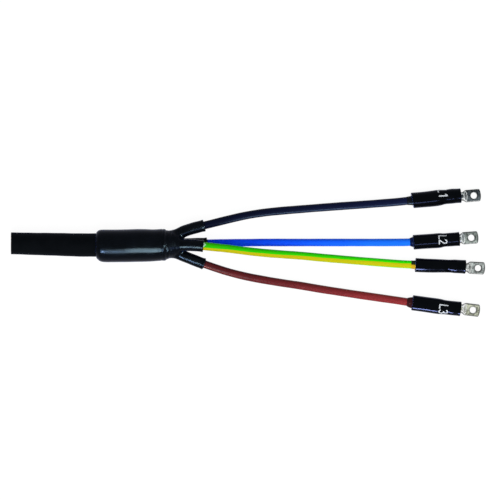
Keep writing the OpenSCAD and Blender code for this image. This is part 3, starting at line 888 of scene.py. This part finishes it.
# Slant of the mouth's cut, as a share of the distance aside, and how far along the sleeve it fades
MOUTH_SLANT = {"l1": -0.11, "l2": 0.0, "pe": 0.0, "l3": 0.0}
SLANT_FADE = 14.0
# Dents where a sleeve follows the crimps: distance, angle from the top towards -Y in degrees, depth, width
DENTS = {
    "l1": [(28.6, 44, 0.35, 1.6), (32.6, 40, 0.4, 1.5), (33, -30, 0.3, 2.2), (37, 8, 0.2, 2.5)],
    "l2": [(31, 50, 0.25, 2.0), (34, -40, 0.2, 2.0), (36, 20, 0.15, 2.2)],
    "pe": [(32, 45, 0.35, 1.8), (30, -35, 0.2, 2.4), (38.5, 15, 0.12, 2.0)],
    "l3": [(31.5, 30, 0.2, 2.2), (34, -35, 0.3, 2.2), (37, 60, 0.2, 2.0)],
}
DENT_R = 6.3
RIM, RIM_STEPS, SLEEVE_STEPS = 0.45, 4, 110
SEAL_DEPTH = 9


def sleeve_radius(core, x, angle):
    """Outside radius at a distance from the mouth; the angle runs from +Y over the top."""
    where, radii, shifts = zip(*SLEEVE_SHAPE[core])
    uneven = 0.05 * np.sin(0.21 * x + 2 * angle + 2)
    r = through(where, radii, x) + through(where, shifts, x) * np.cos(angle) + uneven
    for place, degrees, depth, width in DENTS[core]:
        turn = angle - math.pi / 2 - math.radians(degrees)
        turn = np.arctan2(np.sin(turn), np.cos(turn))
        r = r - depth * np.exp(-((x - place) / width) ** 2 - (turn * DENT_R / width) ** 2)
    return r


def sleeve_object(core):
    """Shrunk sleeve; in its profile, a number adds to the outside radius and nan stands for the bore."""
    length = SLEEVE_LEN[core]
    turns = np.linspace(0, math.pi / 2, RIM_STEPS + 1)[1:]
    corner = [(RIM * (1 - math.sin(a)), RIM * (1 - math.cos(a))) for a in turns]
    mouth = [(x, -drop) for x, drop in corner[::-1]]
    outside = [(x, 0.0) for x in np.linspace(RIM, length - RIM, SLEEVE_STEPS)]
    end = [(length - x, -drop) for x, drop in corner]
    inside = [(x, np.nan) for x in (length, length - SEAL_DEPTH, SEAL_DEPTH, 0)]

    def shape(x, r, angle):
        bore = np.where(x > BARREL_X[core] - 1, BARREL_R + CLEARANCE, SLEEVE_BORE_R)
        made = np.where(np.isnan(r), bore, sleeve_radius(core, x, angle) + r)
        return x + MOUTH_SLANT[core] * made * np.cos(angle) * np.clip(1 - x / SLANT_FADE, 0, 1), made

    def place(points):
        placed = at_sleeve(core)(points)
        placed[:, 2] = np.maximum(placed[:, 2], FLOOR_Z + FLOOR_GAP)
        return placed
    return turned_object(f"sleeve_part_{core}", mouth + outside + end + inside, place, 96, shape)


# Strokes of the phase marks, in letters that are 1 high: x to the right, y up
GLYPHS = {
    "L": [[(0.0, 1.0), (0.0, 0.0), (0.50, 0.0)]],
    "1": [[(0.09, 0.76), (0.34, 0.98), (0.34, 0.0)]],
    "2": [[(0.02, 0.74), (0.06, 0.88), (0.17, 0.97), (0.30, 0.98), (0.44, 0.92), (0.50, 0.78), (0.46, 0.62),
           (0.30, 0.42), (0.12, 0.20), (0.02, 0.02)], [(0.0, 0.0), (0.53, 0.0)]],
    "3": [[(0.02, 0.82), (0.10, 0.94), (0.24, 0.99), (0.40, 0.94), (0.47, 0.80), (0.43, 0.64), (0.30, 0.55),
           (0.20, 0.54)], [(0.20, 0.54), (0.36, 0.50), (0.50, 0.38), (0.52, 0.24), (0.44, 0.08), (0.28, 0.0),
                           (0.12, 0.03), (0.02, 0.16)]],
}
# Marks: text, distance of the letters' feet from the sleeve's mouth, turn of the first letter towards -Y in
# degrees, height of the letters, width of a stroke
MARKS = {
    "l1": ("L1", 25.8, -74, 8.6, 1.2),
    "l2": ("L2", 25.0, -37, 7.7, 1.05),
    "l3": ("L3", 26.7, -12, 8.4, 1.12),
}
LETTER_SCALE, LETTER_PITCH = 7.8, 4.7
STROKE_STEP = 0.25
INK_RISE = 0.06
# Section of a stroke: share of its width aside, share of the ink's rise
STROKE_SECTION = [(-0.5, -0.5), (-0.5, 1.0), (0.0, 1.0), (0.5, 1.0), (0.5, -0.5)]


def mark_object(core):
    """Printed letters as thin strips that follow the sleeve; their tops face the lug."""
    text, feet, turn, height, stroke_w = MARKS[core]
    points, faces = [], []
    for number, letter in enumerate(text):
        for stroke in GLYPHS[letter]:
            corners = np.array(stroke) * (LETTER_SCALE, height)
            runs = lengths(corners)
            steps = np.arange(0, runs[-1] + 0.8 * STROKE_STEP, STROKE_STEP)
            line = np.stack([np.interp(steps, runs, corners[:, i]) for i in (0, 1)], axis=1)
            along = np.gradient(line, axis=0)
            along /= np.linalg.norm(along, axis=1, keepdims=True) + 1e-9
            across = np.stack([-along[:, 1], along[:, 0]], axis=1)
            start = len(points)
            for centre, side in zip(line, across):
                for share, rise in STROKE_SECTION:
                    right, up = centre + side * share * stroke_w
                    x = feet + up
                    angle = math.pi / 2 + math.radians(turn) + (number * LETTER_PITCH + right) / SLEEVE_R
                    r = float(sleeve_radius(core, np.float64(x), np.float64(angle))) + rise * INK_RISE
                    points.append([x, r * math.cos(angle), r * math.sin(angle)])
            n = len(STROKE_SECTION)
            for i in range(len(line) - 1):
                a, b = start + i * n, start + (i + 1) * n
                faces += [[a + j, a + j + 1, b + j + 1, b + j] for j in range(n - 1)]
    return mesh_object(f"mark_{core}", at_sleeve(core)(np.array(points)), faces, smooth=False)


# Collars of sealant squeezed out of the sleeves: distance before the mouth, rise above the core
COLLARS = {
    "l1": [(5.4, 0.08), (4.8, 0.25), (3.8, 0.42), (2.6, 0.5), (1.2, 0.6), (-0.3, 0.8)],
    "l2": [(3.4, 0.08), (2.9, 0.4), (2.0, 0.75), (1.2, 1.0), (0.5, 1.15), (-0.3, 1.25)],
    "pe": [(4.2, 0.06), (3.9, 0.16), (2.6, 0.22), (1.2, 0.26), (0.4, 0.34), (-0.3, 0.5)],
    "l3": [(5.4, 0.08), (4.6, 0.5), (3.4, 1.05), (2.2, 1.35), (1.0, 1.45), (-0.3, 1.5)],
}
# Room between sealant and what it lies against
SEAL_GAP = 0.03


def collar_object(core):
    """Sealant in a sleeve's mouth, with its uneven collar in front of it."""
    skin = SKIN_R[core]
    profile = [(-back, skin + rise) for back, rise in COLLARS[core]]
    profile += [(SEAL_DEPTH, SLEEVE_BORE_R - CLEARANCE), (SEAL_DEPTH, skin + SEAL_GAP),
                (-COLLARS[core][0][0], skin + SEAL_GAP)]

    def shape(x, r, angle):
        rise = np.clip((r - skin) / 1.0, 0, 1) * (x < 0.5)
        uneven = 0.18 * np.sin(2 * angle + 2 + x) + 0.12 * np.sin(3 * angle - 1.0)
        return x + 0.5 * uneven * (x < -1), r + rise * uneven * 0.7
    return turned_object(f"collar_{core}", profile, at_sleeve(core), 72, shape)


# Beads of sealant at the fingers' mouths: share by which they reach further at their fullest, how far
# the rest is drawn back, and the angle and half width of the fullest stretch
BEAD_REACH = {"l1": 0.8, "l2": 0.8, "pe": 5.2, "l3": 0.8}
BEAD_RECESS = {"l1": 0.0, "l2": 0.0, "pe": 0.7, "l3": 0.0}
BEAD_TURN, BEAD_SPREAD = math.radians(65), math.radians(46)


def bead_object(core):
    """Bead of sealant at a finger's mouth, drawn out to a point on one side."""
    at, along, side, up = LINES[core].frames(np.array([FINGER_REACH[core]]))
    skin = SKIN_R[core]
    outside = FINGER_BORE_R - SEAL_GAP
    profile = [(-SEAL_DEPTH, skin + SEAL_GAP), (-SEAL_DEPTH, outside), (-0.2, outside),
               (0.12, outside - 0.03), (0.24, skin + 0.32), (0.34, skin + 0.16), (0.42, skin + 0.04)]

    def place(points):
        return at + turned_to(points, along, side, up)

    def shape(x, r, angle):
        turn = np.abs((angle - BEAD_TURN + math.pi) % (2 * math.pi) - math.pi)
        fullest = np.clip(1 - turn / BEAD_SPREAD, 0, 1)
        drawn_out = np.where(x > 0, x * (1 + BEAD_REACH[core] * fullest), x)
        return drawn_out - BEAD_RECESS[core] * (1 - fullest), r
    return turned_object(f"bead_{core}", profile, place, 96, shape)


# Lug, in its own frame: X from the barrel's mouth, Z up, underside of palm and barrel flush
PALM_Z = PALM_T / 2 - BARREL_R
LUG_SHOWN_FROM = 11.0
TIP_BULGE, CORNER_ROUNDING = 1.2, 1.2
# The slope into the palm starts before the barrel's end and bends forward in the middle
SLOPE_BEFORE, WIDENING_BEFORE, SLOPE_BEND = 1.2, 0.4, 1.6
PALM_ROUNDING, LUG_ROUNDING = 0.5, 0.3
# Allowance that keeps the rounded hole at its size, and the funnel at both of its edges
HOLE_ALLOWANCE, FUNNEL_RISE, FUNNEL_DEPTH = 0.12, 0.35, 0.3


def lug_field(x, y, z):
    """A tube pressed flat from the barrel to the palm, with the bolt hole."""
    half = PALM_W / 2
    bend = SLOPE_BEND * (1 - np.clip(np.abs(y) / half, 0, 1) ** 2)
    flat = np.clip((x - bend - BARREL_LEN + SLOPE_BEFORE) / TAPER_LEN, 0, 1)
    wide = np.clip((x - BARREL_LEN + WIDENING_BEFORE) / TAPER_LEN, 0, 1)
    flat, wide = (t * t * (3 - 2 * t) for t in (flat, wide))
    half_w = BARREL_R + (half - BARREL_R) * wide
    half_t = BARREL_R + (PALM_T / 2 - BARREL_R) * flat
    corner = np.minimum(half_t, half_w)
    dy, dz = np.abs(y) - half_w + corner, np.abs(z - PALM_Z * flat) - half_t + corner
    beyond = np.sqrt(np.maximum(dy, 0) ** 2 + np.maximum(dz, 0) ** 2)
    section = beyond + np.minimum(np.maximum(dy, dz), 0) - corner
    tip = x - LUG_LEN + TIP_BULGE * (y / half) ** 2
    made = most(section, most(tip, np.abs(y) - half, CORNER_ROUNDING), PALM_ROUNDING)
    made = most(made, LUG_SHOWN_FROM - x, LUG_ROUNDING)
    hole = HOLE_R - HOLE_ALLOWANCE - np.sqrt((x - LUG_LEN + HOLE_TO_TIP) ** 2 + y**2)
    near_face = np.clip((np.abs(z - PALM_Z) - PALM_T / 2 + FUNNEL_DEPTH) / FUNNEL_DEPTH, 0, 1)
    return most(made, hole + FUNNEL_RISE * near_face, LUG_ROUNDING)


lug_points, lug_quads = nets(lug_field, low=(10.0, -7.4, -5.4), high=(42.0, 7.4, 5.4), step=0.27)
lug_normals = outward(lug_field, lug_points)


def lug_object(core):
    points = at_sleeve(core)(lug_points + [BARREL_X[core], 0, 0])
    return mesh_object(f"lug_part_{core}", points, lug_quads, {"straight": lug_points},
                       normals=with_sleeve(core, lug_normals))


sleeves, collars, fittings = {}, {}, {}
for core in CORES:
    sleeves[core] = dress(sleeve_object(core), "sleeve", BLACK["sleeve"], f"sleeve_{core}")
    collars[core] = dress(collar_object(core), "sealant", SEALANT[core], f"sleeve_sealant_{core}")
    dress(bead_object(core), "sealant", BEAD_SEALANT[core], f"finger_sealant_{core}")
    lug = dress(lug_object(core), "lug", TINNED[core], f"lug_{core}")
    fittings[core] = [sleeves[core], collars[core], lug]
    if core in MARKS:
        fittings[core].append(dress(mark_object(core), "sleeve", INK))

for core in CORES:
    runs = cord_runs[core]
    path = LINES[core].at(runs) * MM
    leaves = LINES[core].at(np.array([FINGER_REACH[core]]))[0] * MM

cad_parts["boot_sealant"].data.materials.clear()
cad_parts["boot_sealant"].data.materials.append(FILLER)


# Floor, world and lamps

FLOOR_HALF_M = 3.0
UNDER_PART = 0.02
WHITE = (1, 1, 1)
FILL_TINT, FILL_STRENGTH = (0.93, 0.96, 1.0), 0.32


def either(s, unseen, seen):
    """One shader for the light that falls on things, and one for what is seen, mirrored or seen through."""
    path = s.node("LightPath").outputs
    share = s.largest(path["Is Camera Ray"], path["Is Glossy Ray"], path["Is Transmission Ray"])
    return s.node("MixShader", {0: share, 1: unseen.outputs[0], 2: seen.outputs[0]}).outputs[0]


def floor_material():
    """White ground that lights the part as a pale table does and keeps faint shadows."""
    s = new_material("floor_white")
    lit = s.node("BsdfDiffuse", {"Color": (0.8, 0.8, 0.8)})
    shaded = s.node("BsdfDiffuse", {"Color": (0.10, 0.10, 0.10)})
    glow = s.node("Emission", {"Color": WHITE, "Strength": 0.94})
    white = s.node("AddShader", {0: shaded.outputs[0], 1: glow.outputs[0]})
    return s.finish(either(s, lit, white))


corners = [(x * FLOOR_HALF_M / MM, y * FLOOR_HALF_M / MM) for x, y in ((-1, -1), (1, -1), (1, 1), (-1, 1))]
floor = mesh_object("floor", [[x, y, FLOOR_Z - UNDER_PART] for x, y in corners], [[0, 1, 2, 3]])
floor.data.materials.append(floor_material())

world = bpy.data.worlds.new("studio")
bpy.context.scene.world = world
sky = Shader(world)
fill = sky.node("Background", {"Color": FILL_TINT, "Strength": FILL_STRENGTH})
backdrop = sky.node("Background", {"Color": WHITE, "Strength": 1.0})
sky.finish(either(sky, fill, backdrop), "OutputWorld")


def lamp(name, place, aim_x, size, power, colour, gleams_on=None, mirrored=True):
    """Soft box at a place, aimed at the cable's axis, in metres; what it gleams on is all that it lights."""
    data = bpy.data.lights.new(name, "AREA")
    data.shape = "RECTANGLE"
    data.size, data.size_y = size
    data.energy = power
    data.color = colour
    made = bpy.data.objects.new(name, data)
    made.location = place
    made.rotation_euler = (Vector((aim_x, 0, 0)) - Vector(place)).to_track_quat("-Z", "Y").to_euler()
    made.visible_camera = False
    made.visible_glossy = mirrored
    bpy.context.scene.collection.objects.link(made)
    if gleams_on:
        made.visible_diffuse = False
        pieces = bpy.data.collections.new(f"{name}_pieces")
        for piece in gleams_on:
            pieces.objects.link(piece)
        made.light_linking.receiver_collection = pieces


KEY_WHITE = (0.98, 1.0, 0.98)
STRIP_BLUE = (0.78, 0.87, 1.0)
GREENISH = (0.75, 0.97, 1.0)
PALE_BLUE = (0.42, 0.68, 1.0)
SKY_BLUE = (0.50, 0.67, 1.0)
NAVY = (0.32, 0.48, 1.0)
BLUISH = (0.43, 0.48, 1.0)
CORE_BLUE = (0.55, 0.72, 1.0)
REDDISH = (1.0, 0.34, 0.27)
lamp("key", (0.04, -0.58, 0.75), 0.04, (0.18, 0.5), 3.3, KEY_WHITE)
lamp("soft_key", (0.15, -0.32, 1.15), 0.15, (1.2, 0.5), 7.4, WHITE, mirrored=False)
lamp("low_strip", (0.43, -0.89, 0.45), 0.36, (0.5, 0.16), 2.8, STRIP_BLUE, mirrored=False)
lamp("boot_gleam", (0.075, -0.58, 0.75), 0.05, (0.11, 0.48), 16.5, GREENISH, [boot])
lamp("wide_gleam", (-0.13, -0.60, 0.72), 0.05, (0.5, 0.34), 9.5, PALE_BLUE, [boot])
lamp("neck_gleam", (0.42, -0.60, 0.72), 0.08, (0.3, 0.34), 4.2, NAVY, [boot])
lamp("finger_gleam", (-0.20, -0.62, 0.69), 0.09, (0.14, 0.2), 22.0, SKY_BLUE, [boot])
lamp("crotch_gleam", (0.75, -0.15, 0.55), 0.09, (0.22, 0.22), 48.0, GREENISH, [boot])
lamp("high_gleam", (0.46, -0.65, 0.75), 0.34, (0.16, 0.14), 3.8, BLUISH,
     [sleeves["l1"], sleeves["l2"]])
lamp("low_gleam", (0.315, -0.95, 0.33), 0.34, (0.10, 0.30), 30.0, BLUISH, [sleeves["pe"]])
lamp("side_gleam", (0.235, -1.05, 0.11), 0.34, (0.14, 0.18), 28.0, BLUISH, [sleeves["l3"]])
lamp("black_gleam", (0.46, -0.95, 0.24), 0.30, (0.36, 0.10), 24.0, CORE_BLUE,
     [cords["l1"], collars["l1"]])
lamp("brown_gleam", (-0.30, -0.82, 0.42), 0.12, (0.2, 0.16), 80.0, REDDISH, [cords["l3"]])

bpy.context.scene.view_settings.view_transform = "Standard"
